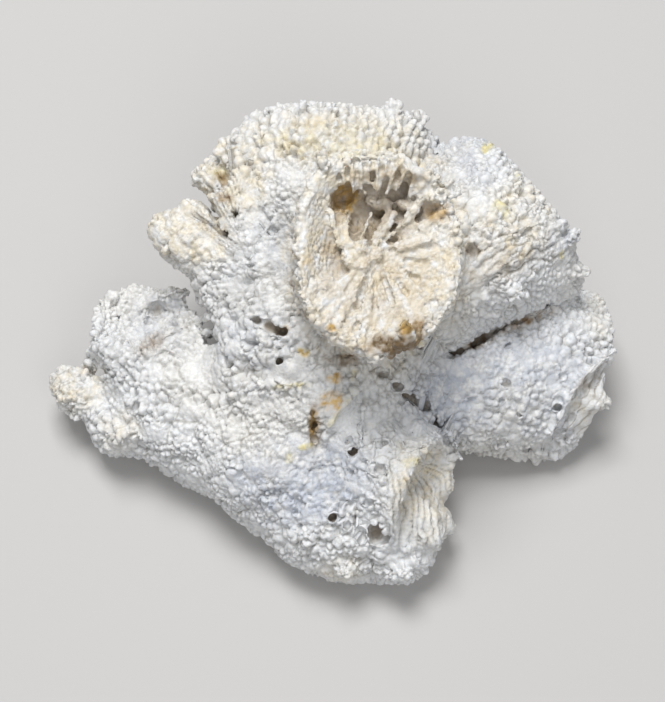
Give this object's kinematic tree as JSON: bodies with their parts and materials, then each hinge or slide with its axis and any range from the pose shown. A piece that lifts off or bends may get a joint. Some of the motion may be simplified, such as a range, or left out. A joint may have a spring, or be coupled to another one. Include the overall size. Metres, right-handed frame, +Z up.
{
  "type": "fossil coral head",
  "caption": "Agatised coral head: flaring corallites with radial plates on a short trunk, cut off flat below so that it rests level.",
  "frame": {"origin": "middle of the flat cut that the coral rests on", "axes": "+X across the widest span of the branches, +Y towards the corallite at the back, +Z up off the cut"},
  "size_m": [0.1245, 0.0935, 0.0689],
  "materials": {
    "white_crust": "matte",
    "cream_crust": "matte"
  },
  "bodies": {
    "root": {"trunk": "white_crust", "centre_corallite": "cream_crust", "top_corallite": "cream_crust", "upper_left_corallite": "cream_crust", "right_corallite": "cream_crust", "lower_right_corallite": "white_crust", "lower_corallite": "cream_crust", "left_corallite": "white_crust", "left_bud": "cream_crust"}
  },
  "joints": []
}
